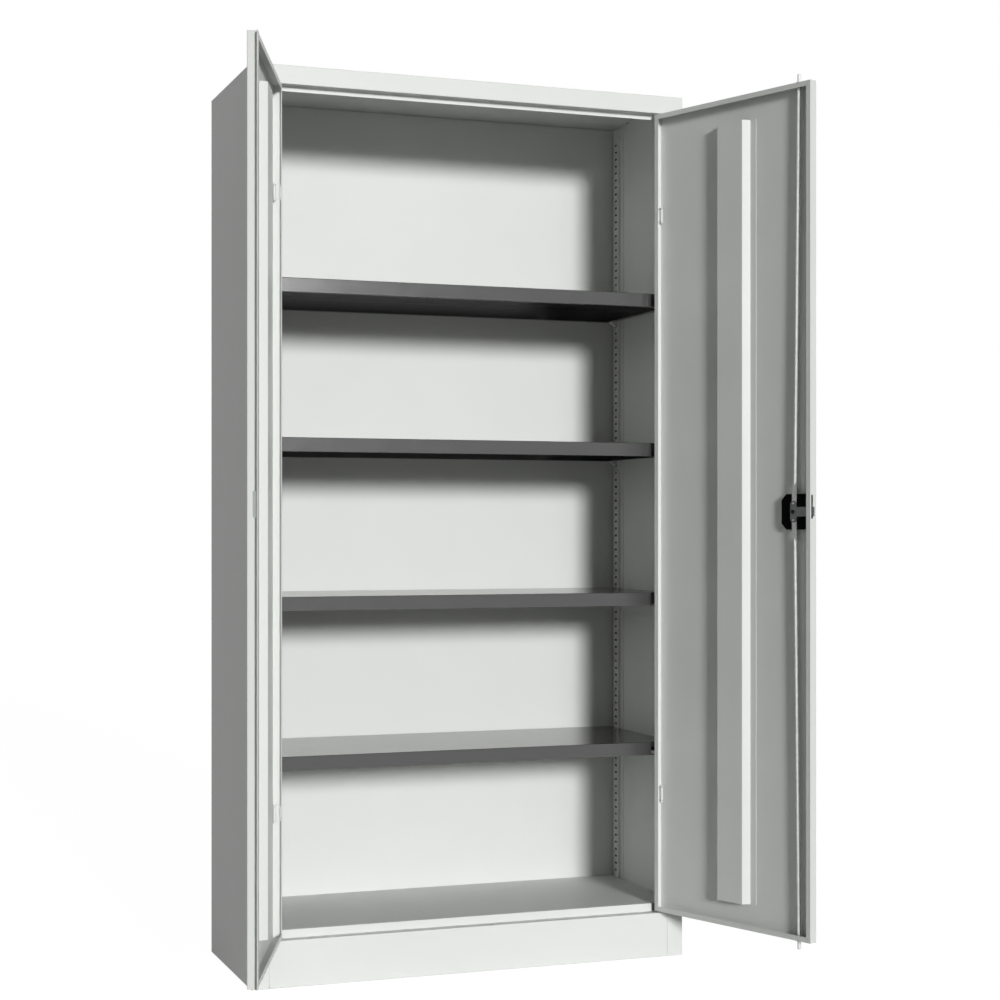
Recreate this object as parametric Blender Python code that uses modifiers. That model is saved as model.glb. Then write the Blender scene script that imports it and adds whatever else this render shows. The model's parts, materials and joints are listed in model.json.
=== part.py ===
"""Steel cabinet with two hinged doors, shown with the doors open and the three-point lock thrown.

Cabinet frame, in metres: x to the right, y back from the front plane, z up from the floor.
The world origin lies on the floor, in the middle of the plinth's foot flange.
A door is drawn shut, in its own frame on its hinge axis, and its axis turns it open.
"""

import math

import bmesh
import bpy
from mathutils import Matrix, Vector

# Overall size and sheet metal
WIDTH = 1.000
DEPTH = 0.400
HEIGHT = 1.950
SHEET = 0.001
BEND_RADIUS = 0.0016
BEND_STEP = math.radians(45)
BEND_ROUND_SHARE = 0.5
SEAT_GAP = 0.0003
CUT_OVERRUN = 0.002
HAIR = 0.00015
WELD = 0.000015

# Side panels with their folded front stiles
STILE_WIDTH = 0.038
STILE_DEPTH = 0.026
STILE_RETURN = 0.018
REAR_RETURN = 0.020

# Top panel with its fascia, ledge and lip
FASCIA_HEIGHT = 0.040
LEDGE_DEPTH = 0.022
HEADER_LIP = 0.011
TOP_REAR_FLANGE = 0.020
LIP_END_CLEARANCE = 0.0162

# Plinth, floor and back
PLINTH_HEIGHT = 0.0997
PLINTH_FOOT = 0.020
PLINTH_TOP_FLANGE = 0.045
FLOOR_LIP = 0.018
CORNER_NOTCH_CLEARANCE = 0.004
BACK_FLANGE = 0.0147

# Perforated shelf rails
RAIL_HEIGHT = 0.009
RAIL_WEB = 0.022
RAIL_FLANGE = 0.017
RAIL_BOTTOM_CLEARANCE = 0.0012
RAIL_TOP_CLEARANCE = 0.018
RAIL_END_MARGIN = 0.0175
RAIL_PITCH = 0.017
RAIL_HOLE_WIDTH = 0.011
RAIL_HOLE_HEIGHT = 0.005
FRONT_RAIL_CLEARANCE = 0.021
REAR_RAIL_CLEARANCE = 0.008

# Shelves, counted from the top, and the clips that carry them
SHELF_HOLES = (78, 58, 38, 18)
SHELF_THICKNESS = 0.030
SHELF_RETURN = 0.015
SHELF_SIDE_CLEARANCE = 0.0008
SHELF_FRONT_SETBACK = 0.002
SHELF_REAR_CLEARANCE = 0.004
CLIP_SHEET = 0.0012
CLIP_WIDTH = 0.0095
CLIP_RISE = 0.0118
CLIP_REACH = 0.0195
CLIP_HEEL = 0.0015
CLIP_TONGUE = 0.0035

# Doors
DOOR_OPEN_ANGLE = math.radians(110)
DOOR_THICKNESS = 0.020
DOOR_RETURN = 0.011
DOOR_SIDE_GAP = 0.005
DOOR_MEETING_GAP = 0.003
DOOR_TOP_GAP = 0.0029
DOOR_BOTTOM_GAP = 0.0045
SEAM_WIDTH = 0.0006
SEAM_INSET = 0.0016
STIFFENER_BASE = 0.091
STIFFENER_FACE = 0.073
STIFFENER_FLANGE = 0.016
STIFFENER_END_INSET = 0.053
STRIP_WIDTH = 0.024
STRIP_SHEET = 0.0012
STRIP_END_INSET = 0.001

# Hinges
PIVOT_INSET = 0.0068
PIVOT_DEPTH = 0.0044
TOP_HINGE_DROP = 0.2271
BOTTOM_HINGE_RISE = 0.2638
HINGE_NOTCH_HEIGHT = 0.030
HINGE_NOTCH_FRONT = 0.0028
HINGE_NOTCH_CLEARANCE = 0.0004
HINGE_SHEET = 0.0012
LEAF_CLEARANCE = 0.001
LEAF_EYE_ANGLE = math.radians(290)
PIN_RADIUS = 0.0015
PIN_CLEARANCE = 0.0003
PIN_HEAD_RADIUS = 0.0026
PIN_HEAD = 0.0015
PIN_TAIL = 0.0025
EAR_GAP = 0.002
EAR_OUTREACH = 0.004
BRACKET_TOWARDS_EDGE = 0.0045
BRACKET_TOWARDS_DOOR = 0.016
BRACKET_WINDOW_CLEARANCE = 0.0006

# Three-point lock on the inside of the right door
LOCK_BACKSET = 0.0505
ROD_BACKSET = 0.0385
CASE_WIDTH = 0.074
CASE_PAST_SPINDLE = 0.036
CASE_HEIGHT = 0.075
CASE_DEPTH = 0.0095
CASE_CHAMFER = 0.013
PIN_THROW_RADIUS = 0.0176
ROD_RADIUS = 0.004
ROD_THROW = 0.019
ROD_TIP_CHAMFER = 0.001
ROD_PLATE_WIDTH = 0.012
ROD_PLATE_SHEET = 0.0015
ROD_PLATE_LENGTH = 0.0435
ROD_PLATE_LAP = 0.004
CAM_SHEET = 0.002
CAM_BAR_WIDTH = 0.017
CAM_BAR_LENGTH = 0.046
CAM_ARM_WIDTH = 0.020
CAM_ARM_PAST_EDGE = 0.0058
RIVET_RADIUS = 0.0035
RIVET_HEAD = 0.0012
SPINDLE_SIDE = 0.007
SPINDLE_STUB_RADIUS = 0.0025
SPINDLE_CLEARANCE = 0.0008
NUT_RADIUS = 0.0042
NUT_HEIGHT = 0.003
NUT_CAP = 0.0008
CAM_SLOT_SIDE_CLEARANCE = 0.0018
LEFT_SLOT_DEPTH = 0.006
CAM_SLOT_BELOW = 0.0145
CAM_SLOT_ABOVE = 0.035
GUIDE_WALL = 0.0015
GUIDE_FLANGE = 0.002
GUIDE_FLANGE_HEIGHT = 0.0009

# Turning handle on the outside of the right door
ROSETTE_RADIUS = 0.022
ROSETTE_HEIGHT = 0.004
ROSETTE_EDGE = 0.0012
HANDLE_NECK_RADIUS = 0.010
HANDLE_NECK_TOP_RADIUS = 0.008
HANDLE_NECK_LENGTH = 0.008
GRIP_WIDTH = 0.024
GRIP_LENGTH = 0.064
GRIP_DEPTH = 0.014
GRIP_SINK = 0.004
CYLINDER_RADIUS = 0.006
CYLINDER_LENGTH = 0.007
CYLINDER_PROUD = 0.0004
KEYWAY_WIDTH = 0.0012
KEYWAY_LENGTH = 0.006
KEYWAY_DEPTH = 0.002
SPINDLE_SOCKET = 0.007

# Facets of round forms
ROUND_SIDES = 10
EYE_STEPS = 8
GRIP_SIDES = 16
GRIP_RINGS = 8
END_ARC_STEPS = 6
GUIDE_STEPS = 12
NUT_SIDES = 6
SMOOTH_ANGLE = math.radians(35)
QUARTER_TURN = math.radians(90)

# Places that follow from the sizes
HALF_WIDTH = WIDTH / 2
WALL_FACE = HALF_WIDTH - SHEET
OPENING_EDGE = HALF_WIDTH - STILE_WIDTH
HEADER_UNDERSIDE = HEIGHT - FASCIA_HEIGHT
WALL_TOP = HEIGHT - SHEET - SEAT_GAP
FLOOR_UNDERSIDE = PLINTH_HEIGHT + SEAT_GAP
FLOOR_TOP = FLOOR_UNDERSIDE + FLOOR_LIP
BACK_FACE = DEPTH - SHEET - SEAT_GAP - BACK_FLANGE
NOTCH_DEPTH = STILE_DEPTH + CORNER_NOTCH_CLEARANCE
PIVOT_X = OPENING_EDGE - DOOR_SIDE_GAP - PIVOT_INSET
PIVOT_Y = PIVOT_DEPTH
LIP_END = PIVOT_X - LIP_END_CLEARANCE
RAIL_FACE = WALL_FACE - RAIL_HEIGHT
RAIL_FOOT = RAIL_WEB / 2 + RAIL_FLANGE
RAIL_PLACES = {
    "front": STILE_DEPTH + FRONT_RAIL_CLEARANCE + RAIL_FOOT,
    "rear": BACK_FACE - REAR_RAIL_CLEARANCE - RAIL_FOOT,
}
RAIL_BOTTOM = FLOOR_TOP + RAIL_BOTTOM_CLEARANCE
FIRST_HOLE = RAIL_BOTTOM + RAIL_END_MARGIN
RAIL_ROOM = HEIGHT - SHEET - RAIL_TOP_CLEARANCE - RAIL_END_MARGIN - FIRST_HOLE
RAIL_HOLES = int(RAIL_ROOM / RAIL_PITCH) + 1
RAIL_TOP = FIRST_HOLE + (RAIL_HOLES - 1) * RAIL_PITCH + RAIL_END_MARGIN
SHELF_FRONT = LEDGE_DEPTH + SHELF_FRONT_SETBACK
SHELF_REAR = BACK_FACE - SHELF_REAR_CLEARANCE
SHELF_EDGE = RAIL_FACE - SHELF_SIDE_CLEARANCE
DOOR_TOP = HEADER_UNDERSIDE - DOOR_TOP_GAP
DOOR_BOTTOM = PLINTH_HEIGHT + DOOR_BOTTOM_GAP
DOOR_FREE_EDGE = PIVOT_X - DOOR_MEETING_GAP / 2
DOOR_FRONT = -PIVOT_DEPTH
DOOR_REAR = DOOR_THICKNESS - PIVOT_DEPTH
PANEL_INSIDE = DOOR_FRONT + SHEET
HINGE_HEIGHTS = {"upper": DOOR_TOP - TOP_HINGE_DROP, "lower": DOOR_BOTTOM + BOTTOM_HINGE_RISE}
LEAF_HEIGHT = HINGE_NOTCH_HEIGHT - 2 * LEAF_CLEARANCE
EYE_OUTSIDE = PIN_RADIUS + PIN_CLEARANCE + HINGE_SHEET
EAR_OUTSIDE = LEAF_HEIGHT / 2 + EAR_GAP + HINGE_SHEET
LOCK_X = DOOR_FREE_EDGE - LOCK_BACKSET
LOCK_Z = (DOOR_TOP + DOOR_BOTTOM) / 2
ROD_X = DOOR_FREE_EDGE - ROD_BACKSET
ROD_Y = (DOOR_FRONT + DOOR_REAR) / 2
CASE_FRONT = PANEL_INSIDE + SEAT_GAP
CASE_REAR = CASE_FRONT + CASE_DEPTH
ROD_PLATE_FRONT = CASE_REAR + SEAT_GAP
CAM_FRONT = ROD_PLATE_FRONT + ROD_PLATE_SHEET + SEAT_GAP
CAM_REAR = CAM_FRONT + CAM_SHEET
CAM_ARM_LENGTH = LOCK_BACKSET + CAM_ARM_PAST_EDGE
SPINDLE_BORE = SPINDLE_SIDE / math.sqrt(2) + SPINDLE_CLEARANCE
GUIDE_BORE = ROD_RADIUS + PIN_CLEARANCE
GUIDE_OUTSIDE = GUIDE_BORE + GUIDE_WALL
GUIDE_HOLE = GUIDE_OUTSIDE + PIN_CLEARANCE
ROSETTE_REAR = DOOR_FRONT - SEAT_GAP
HANDLE_REAR = ROSETTE_REAR - ROSETTE_HEIGHT - SEAT_GAP
GRIP_CENTRE = HANDLE_REAR - HANDLE_NECK_LENGTH + GRIP_SINK - GRIP_DEPTH / 2
GRIP_FRONT = GRIP_CENTRE - GRIP_DEPTH / 2
CYLINDER_FRONT = GRIP_FRONT - CYLINDER_PROUD

for old in list(bpy.data.objects):
    bpy.data.objects.remove(old, do_unlink=True)


def new_collection(name):
    collection = bpy.data.collections.new(name)
    bpy.context.scene.collection.children.link(collection)
    return collection


PARTS = new_collection("hinged_door_cabinet")
CUTTERS = new_collection("cutters")


def new_material(name, colour, roughness, metallic):
    material = bpy.data.materials.new(name)
    material.use_nodes = True
    shader = material.node_tree.nodes["Principled BSDF"]
    shader.inputs["Base Color"].default_value = (*colour, 1)
    shader.inputs["Roughness"].default_value = roughness
    shader.inputs["Metallic"].default_value = metallic
    return material


def paint(name):
    return new_material(f"{name}_light_grey_paint", (0.70, 0.72, 0.69), 0.45, 0)


def shelf_paint(name):
    return new_material(f"{name}_dark_grey_paint", (0.11, 0.11, 0.11), 0.4, 0)


def bare_steel(name):
    return new_material(f"{name}_zinc_plated_steel", (0.62, 0.62, 0.60), 0.35, 1)


def dark_steel(name):
    return new_material(f"{name}_burnished_steel", (0.16, 0.16, 0.16), 0.4, 1)


def black_plastic(name):
    return new_material(f"{name}_black_plastic", (0.012, 0.012, 0.012), 0.4, 0)


def black_metal(name):
    return new_material(f"{name}_black_coated_metal", (0.02, 0.02, 0.02), 0.35, 0.6)


def new_axis(name, parent, location, rotation=(0, 0, 0)):
    """An empty that its pieces are drawn round."""
    axis = bpy.data.objects.new(name, None)
    axis.location = location
    axis.rotation_euler = rotation
    axis.parent = parent
    PARTS.objects.link(axis)
    return axis


CABINET = new_axis("cabinet_frame", None, (0, -PLINTH_FOOT / 2, 0))


def mirror_in_x(bm):
    bmesh.ops.scale(bm, vec=(-1, 1, 1), verts=bm.verts)
    bmesh.ops.reverse_faces(bm, faces=bm.faces)


def add_object(name, bm, parent, collection, hand):
    """Turns the drawn mesh into an object, mirrored in x where hand is -1."""
    if hand < 0:
        mirror_in_x(bm)
    mesh = bpy.data.meshes.new(name)
    bm.to_mesh(mesh)
    bm.free()
    piece = bpy.data.objects.new(name, mesh)
    piece.parent = parent
    collection.objects.link(piece)
    return piece


def add_piece(name, bm, parent, finish, hand=1, smooth=False):
    piece = add_object(name, bm, parent, PARTS, hand)
    piece.data.materials.append(finish(name))
    if smooth:
        piece.data.shade_smooth()
        piece.data.set_sharp_from_angle(angle=SMOOTH_ANGLE)
    return piece


def boolean(piece, bm, operation, hand):
    """Cuts the drawn shapes out of the piece, or joins them to it."""
    count = len(piece.modifiers)
    tool = add_object(f"{piece.name}_{operation.lower()}_{count}", bm, piece.parent, CUTTERS, hand)
    tool.hide_render = True
    tool.display_type = "WIRE"
    modifier = piece.modifiers.new(operation.lower(), "BOOLEAN")
    modifier.operation = operation
    modifier.object = tool
    modifier.solver = "EXACT"


def cut(piece, bm, hand=1):
    boolean(piece, bm, "DIFFERENCE", hand)


def join(piece, bm, hand=1):
    boolean(piece, bm, "UNION", hand)


def add_block(bm, low, high):
    low = Vector(low)
    high = Vector(high)
    place = Matrix.Translation((low + high) / 2) @ Matrix.Diagonal((*(high - low), 1))
    bmesh.ops.create_cube(bm, size=1, matrix=place)


def add_round(bm, centre, direction, radius, length, end_radius=None, sides=ROUND_SIDES):
    """A cylinder or cone on its centre, along the direction."""
    turn = Vector((0, 0, 1)).rotation_difference(Vector(direction)).to_matrix().to_4x4()
    bmesh.ops.create_cone(
        bm,
        cap_ends=True,
        segments=sides,
        radius1=radius,
        radius2=radius if end_radius is None else end_radius,
        depth=length,
        matrix=Matrix.Translation(centre) @ turn,
    )


def block_shape(low, high):
    bm = bmesh.new()
    add_block(bm, low, high)
    return bm


def round_shape(centre, direction, radius, length, end_radius=None, sides=ROUND_SIDES):
    bm = bmesh.new()
    add_round(bm, centre, direction, radius, length, end_radius, sides)
    return bm


def arc(centre, radius, start, end, steps):
    """Points on an arc, from the start angle to the end angle."""
    turns = [start + (end - start) * step / steps for step in range(steps + 1)]
    return [
        (centre[0] + radius * math.cos(turn), centre[1] + radius * math.sin(turn))
        for turn in turns
    ]


def bent_path(corners, sheet):
    """The corner points with each bend rounded; the sheet lies to the right of the path."""
    path = [Vector(corners[0])]
    for before, corner, after in zip(corners, corners[1:], corners[2:]):
        corner = Vector(corner)
        arrive = (corner - Vector(before)).normalized()
        leave = (Vector(after) - corner).normalized()
        turn = math.atan2(arrive.cross(leave), arrive.dot(leave))
        side = math.copysign(1, turn)
        radius = BEND_RADIUS if turn < 0 else BEND_RADIUS - sheet / 2
        start = corner - arrive * radius * math.tan(abs(turn) / 2)
        centre = start + side * radius * Vector((-arrive.y, arrive.x))
        first = math.atan2(start.y - centre.y, start.x - centre.x)
        steps = max(2, round(abs(turn) / BEND_STEP))
        path += [Vector(point) for point in arc(centre, radius, first, first + turn, steps)]
    return path + [Vector(corners[-1])]


def plan_view(x, y, z):
    return Vector((x, y, z))


def side_view(y, z, x):
    return Vector((x, y, z))


def front_view(z, x, y):
    return Vector((x, y, z))


def extruded_path(path, view, low, high):
    """An open surface along the path, whose faces look to the left of it."""
    bm = bmesh.new()
    points = [bm.verts.new(view(u, v, low)) for u, v in path]
    run = [bm.edges.new(pair) for pair in zip(points, points[1:])]
    made = bmesh.ops.extrude_edge_only(bm, edges=run)["geom"]
    moved = [item for item in made if isinstance(item, bmesh.types.BMVert)]
    bmesh.ops.translate(bm, verts=moved, vec=view(0, 0, high - low))
    bmesh.ops.recalc_face_normals(bm, faces=bm.faces)
    bm.normal_update()
    outward = view(0, 0, 1).cross(points[1].co - points[0].co)
    if run[0].link_faces[0].normal.dot(outward) < 0:
        bmesh.ops.reverse_faces(bm, faces=bm.faces)
    return bm


def thicken(piece, sheet):
    solid = piece.modifiers.new("sheet", "SOLIDIFY")
    solid.thickness = sheet
    solid.offset = -1
    solid.use_even_offset = True
    solid.use_quality_normals = True


def bent_sheet(name, corners, view, low, high, parent, finish, hand=1, sheet=SHEET):
    """A folded strip of sheet, drawn as its profile's outer corners and run from low to high."""
    bm = extruded_path(bent_path(corners, sheet), view, low, high)
    piece = add_piece(name, bm, parent, finish, hand)
    thicken(piece, sheet)
    return piece


def folded_pan(name, low, high, open_side, flange_return, parent, finish, hand=1):
    """A tray with flanges on four sides, open on one side, where its flanges may turn inwards."""
    bm = block_shape(low, high)
    bm.normal_update()
    open_side = Vector(open_side)
    open_face = max(bm.faces, key=lambda face: face.normal.dot(open_side))
    shown_face = min(bm.faces, key=lambda face: face.normal.dot(open_side))
    bends = list(shown_face.edges)
    if flange_return:
        bmesh.ops.inset_region(
            bm, faces=[open_face], thickness=flange_return, use_even_offset=True
        )
    bmesh.ops.delete(bm, geom=[open_face], context="FACES_ONLY")
    bmesh.ops.bevel(
        bm,
        geom=bends,
        offset=BEND_RADIUS,
        offset_type="OFFSET",
        segments=2,
        profile=BEND_ROUND_SHARE,
        affect="EDGES",
    )
    piece = add_piece(name, bm, parent, finish, hand)
    thicken(piece, SHEET)
    return piece


def turned_shape(profile, steps=ROUND_SIDES):
    """A closed turned body; the profile runs down its outer side from axis to axis, as (radius, z)."""
    bm = bmesh.new()
    points = [bm.verts.new((radius, 0, z)) for radius, z in profile]
    run = [bm.edges.new(pair) for pair in zip(points, points[1:])]
    bmesh.ops.spin(
        bm,
        geom=points + run,
        cent=(0, 0, 0),
        axis=(0, 0, 1),
        angle=math.tau,
        steps=steps,
        use_merge=True,
    )
    bmesh.ops.remove_doubles(bm, verts=bm.verts, dist=WELD)
    bmesh.ops.recalc_face_normals(bm, faces=bm.faces)
    return bm


def ring_shape(profile, steps):
    """A turned ring; the profile is the closed outline of its section, as (radius, z)."""
    return turned_shape([*profile, profile[0]], steps)


def flat_shape(outlines, sheet):
    """A plate in the x-z plane, centred on y = 0: an outline, then its holes."""
    curve = bpy.data.curves.new("outline", "CURVE")
    curve.dimensions = "2D"
    curve.fill_mode = "BOTH"
    curve.extrude = sheet / 2
    for outline in outlines:
        spline = curve.splines.new("POLY")
        spline.points.add(len(outline) - 1)
        for point, (x, z) in zip(spline.points, outline):
            point.co = (x, z, 0, 1)
        spline.use_cyclic_u = True
    drawing = bpy.data.objects.new("outline", curve)
    CUTTERS.objects.link(drawing)
    graph = bpy.context.evaluated_depsgraph_get()
    mesh = bpy.data.meshes.new_from_object(drawing.evaluated_get(graph))
    bpy.data.objects.remove(drawing, do_unlink=True)
    bm = bmesh.new()
    bm.from_mesh(mesh)
    bpy.data.meshes.remove(mesh)
    bmesh.ops.remove_doubles(bm, verts=bm.verts, dist=WELD)
    bmesh.ops.recalc_face_normals(bm, faces=bm.faces)
    bmesh.ops.rotate(bm, verts=bm.verts, matrix=Matrix.Rotation(QUARTER_TURN, 3, "X"))
    return bm


def moved(bm, offset):
    bmesh.ops.translate(bm, verts=bm.verts, vec=offset)
    return bm


SIDES = {"right": 1, "left": -1}


def side_panel(side):
    """Outer wall with a rear return and, in front, the box-folded stile."""
    hand = SIDES[side]
    profile = (
        (HALF_WIDTH - REAR_RETURN, DEPTH),
        (HALF_WIDTH, DEPTH),
        (HALF_WIDTH, 0),
        (OPENING_EDGE, 0),
        (OPENING_EDGE, STILE_DEPTH),
        (OPENING_EDGE + STILE_RETURN, STILE_DEPTH),
    )
    panel = bent_sheet(
        f"{side}_side_panel", profile, plan_view, 0, WALL_TOP, CABINET, paint, hand
    )
    stile_top = HEADER_UNDERSIDE - SEAT_GAP
    over_stile = block_shape(
        (OPENING_EDGE - CUT_OVERRUN, -CUT_OVERRUN, stile_top),
        (WALL_FACE - SEAT_GAP, STILE_DEPTH + CUT_OVERRUN, HEIGHT),
    )
    cut(panel, over_stile, hand)
    behind_fascia = block_shape(
        (OPENING_EDGE - CUT_OVERRUN, -CUT_OVERRUN, stile_top),
        (HALF_WIDTH + CUT_OVERRUN, SHEET + SEAT_GAP, HEIGHT),
    )
    cut(panel, behind_fascia, hand)


def add_block_pair(bm, low, high):
    """A block on the right and its mirror image on the left."""
    add_block(bm, low, high)
    add_block(bm, (-high[0], low[1], low[2]), (-low[0], high[1], high[2]))


def rod_hole(height):
    """A tool for the hole that a lock rod enters when the right door is shut."""
    rod_in_cabinet = PIVOT_X - ROD_X
    return round_shape(
        (rod_in_cabinet, PIVOT_Y + ROD_Y, height),
        (0, 0, 1),
        GUIDE_HOLE,
        SHEET + 2 * CUT_OVERRUN,
    )


def top_panel():
    """Cap over the walls, with the fascia, the ledge over the doors and the lip behind them."""
    profile = (
        (LEDGE_DEPTH, HEADER_UNDERSIDE - HEADER_LIP),
        (LEDGE_DEPTH, HEADER_UNDERSIDE),
        (0, HEADER_UNDERSIDE),
        (0, HEIGHT),
        (DEPTH, HEIGHT),
        (DEPTH, HEIGHT - TOP_REAR_FLANGE),
    )
    panel = bent_sheet(
        "top_panel", profile, side_view, -HALF_WIDTH, HALF_WIDTH, CABINET, paint
    )
    beyond = HALF_WIDTH + CUT_OVERRUN
    lip_low = HEADER_UNDERSIDE - HEADER_LIP - CUT_OVERRUN
    flange_low = HEIGHT - TOP_REAR_FLANGE - CUT_OVERRUN
    lip_ends = bmesh.new()
    add_block_pair(
        lip_ends,
        (LIP_END, LEDGE_DEPTH - BEND_RADIUS, lip_low),
        (beyond, LEDGE_DEPTH + 2 * CUT_OVERRUN, HEADER_UNDERSIDE + 2 * CUT_OVERRUN),
    )
    cut(panel, lip_ends)
    over_walls = bmesh.new()
    add_block_pair(
        over_walls,
        (WALL_FACE - SEAT_GAP, SHEET + HAIR, lip_low),
        (beyond, LEDGE_DEPTH + CUT_OVERRUN, WALL_TOP + HAIR),
    )
    add_block_pair(
        over_walls,
        (HALF_WIDTH - REAR_RETURN - SEAT_GAP, DEPTH - BEND_RADIUS, flange_low),
        (beyond, DEPTH + CUT_OVERRUN, WALL_TOP + HAIR),
    )
    cut(panel, over_walls)
    cut(panel, rod_hole(HEADER_UNDERSIDE))


def plinth_panel():
    """Front of the plinth between the stiles, with a foot flange and a flange under the floor."""
    profile = (
        (PLINTH_FOOT, 0),
        (0, 0),
        (0, PLINTH_HEIGHT),
        (PLINTH_TOP_FLANGE, PLINTH_HEIGHT),
    )
    half = OPENING_EDGE - SEAT_GAP
    panel = bent_sheet("plinth_panel", profile, side_view, -half, half, CABINET, paint)
    cut(panel, rod_hole(PLINTH_HEIGHT))


def front_corner_tools(low, high):
    """Tools for the corners that are cut away round the stiles and the swing of the doors."""
    bm = bmesh.new()
    add_block_pair(bm, (LIP_END, 0, low), (HALF_WIDTH, NOTCH_DEPTH, high))
    return bm


def floor_panel():
    """Bottom of the cupboard, folded down on four sides."""
    half = WALL_FACE - SEAT_GAP
    panel = folded_pan(
        "floor_panel",
        (-half, LEDGE_DEPTH, FLOOR_UNDERSIDE),
        (half, BACK_FACE - SEAT_GAP, FLOOR_TOP),
        (0, 0, -1),
        0,
        CABINET,
        paint,
    )
    cut(panel, front_corner_tools(FLOOR_UNDERSIDE - CUT_OVERRUN, FLOOR_TOP + CUT_OVERRUN))


def back_panel():
    """Back, folded rearwards on four sides and set in between the walls."""
    half = WALL_FACE - SEAT_GAP
    rear = BACK_FACE + BACK_FLANGE
    folded_pan(
        "back_panel", (-half, BACK_FACE, 0), (half, rear, WALL_TOP), (0, 1, 0), 0, CABINET, paint
    )


def shelf_rail(side, place, middle):
    """A hat-section strip on the wall, with a row of slots for the clips."""
    flange_face = WALL_FACE - SEAT_GAP - SHEET
    web = RAIL_WEB / 2
    profile = (
        (flange_face, middle - RAIL_FOOT),
        (flange_face, middle - web),
        (RAIL_FACE, middle - web),
        (RAIL_FACE, middle + web),
        (flange_face, middle + web),
        (flange_face, middle + RAIL_FOOT),
    )
    name = f"{place}_{side}_shelf_rail"
    hand = SIDES[side]
    rail = bent_sheet(name, profile, plan_view, RAIL_BOTTOM, RAIL_TOP, CABINET, paint, hand)
    holes = bmesh.new()
    for number in range(RAIL_HOLES):
        z = FIRST_HOLE + number * RAIL_PITCH
        half = Vector((SHEET, RAIL_HOLE_WIDTH / 2, RAIL_HOLE_HEIGHT / 2))
        centre = Vector((RAIL_FACE + SHEET / 2, middle, z))
        add_block(holes, centre - half, centre + half)
    cut(rail, holes, hand)


def clip_hole_height(number):
    return FIRST_HOLE + SHELF_HOLES[number] * RAIL_PITCH


def shelf_clip(number, side, place, middle):
    """A strip bent into a hook: a tongue in the rail's hole, a brace and a ledge for the shelf."""
    hole = clip_hole_height(number)
    ledge = hole + CLIP_RISE
    underside = hole - CLIP_SHEET / 2
    heel = RAIL_FACE - CLIP_HEEL
    profile = (
        (ledge, heel),
        (ledge, RAIL_FACE - CLIP_REACH),
        (underside, heel),
        (underside, RAIL_FACE + CLIP_TONGUE),
    )
    bent_sheet(
        f"shelf_{number + 1}_{place}_{side}_clip",
        profile,
        front_view,
        middle - CLIP_WIDTH / 2,
        middle + CLIP_WIDTH / 2,
        CABINET,
        bare_steel,
        SIDES[side],
        CLIP_SHEET,
    )


def shelf(number):
    """A tray-shaped shelf, folded down and under, with its front corners cut away."""
    underside = clip_hole_height(number) + CLIP_RISE + SEAT_GAP
    top = underside + SHELF_THICKNESS
    board = folded_pan(
        f"shelf_{number + 1}",
        (-SHELF_EDGE, SHELF_FRONT, underside),
        (SHELF_EDGE, SHELF_REAR, top),
        (0, 0, -1),
        SHELF_RETURN,
        CABINET,
        shelf_paint,
    )
    cut(board, front_corner_tools(underside - CUT_OVERRUN, top + CUT_OVERRUN))


def shelving():
    for side in SIDES:
        for place, middle in RAIL_PLACES.items():
            shelf_rail(side, place, middle)
    for number in range(len(SHELF_HOLES)):
        shelf(number)
        for side in SIDES:
            for place, middle in RAIL_PLACES.items():
                shelf_clip(number, side, place, middle)


# In a door's frame x runs from the hinge axis to the free edge on the left door, and the right
# door is its mirror image, so a door piece is drawn for the left door and takes the door's hand.
DOOR_HANDS = {"left": 1, "right": -1}


def door_axis(side):
    """The hinge axis, at the foot of the door, turned open."""
    hand = DOOR_HANDS[side]
    place = (-hand * PIVOT_X, PIVOT_Y, 0)
    return new_axis(f"{side}_door_axis", CABINET, place, (0, 0, -hand * DOOR_OPEN_ANGLE))


def add_seams(bm):
    """Tools for the mitred seams between the returns, at the four corners of a door."""
    length = DOOR_RETURN * math.sqrt(2)
    for x, right in ((-PIVOT_INSET, 1), (DOOR_FREE_EDGE, -1)):
        for z, up in ((DOOR_BOTTOM, 1), (DOOR_TOP, -1)):
            reach = SEAM_INSET + DOOR_RETURN / 2
            middle = Vector((x + right * reach, DOOR_REAR, z + up * reach))
            turn = Matrix.Rotation(-right * up * QUARTER_TURN / 2, 4, "Y")
            size = Matrix.Diagonal((length, 2 * CUT_OVERRUN, SEAM_WIDTH, 1))
            bmesh.ops.create_cube(bm, size=1, matrix=Matrix.Translation(middle) @ turn @ size)


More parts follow.
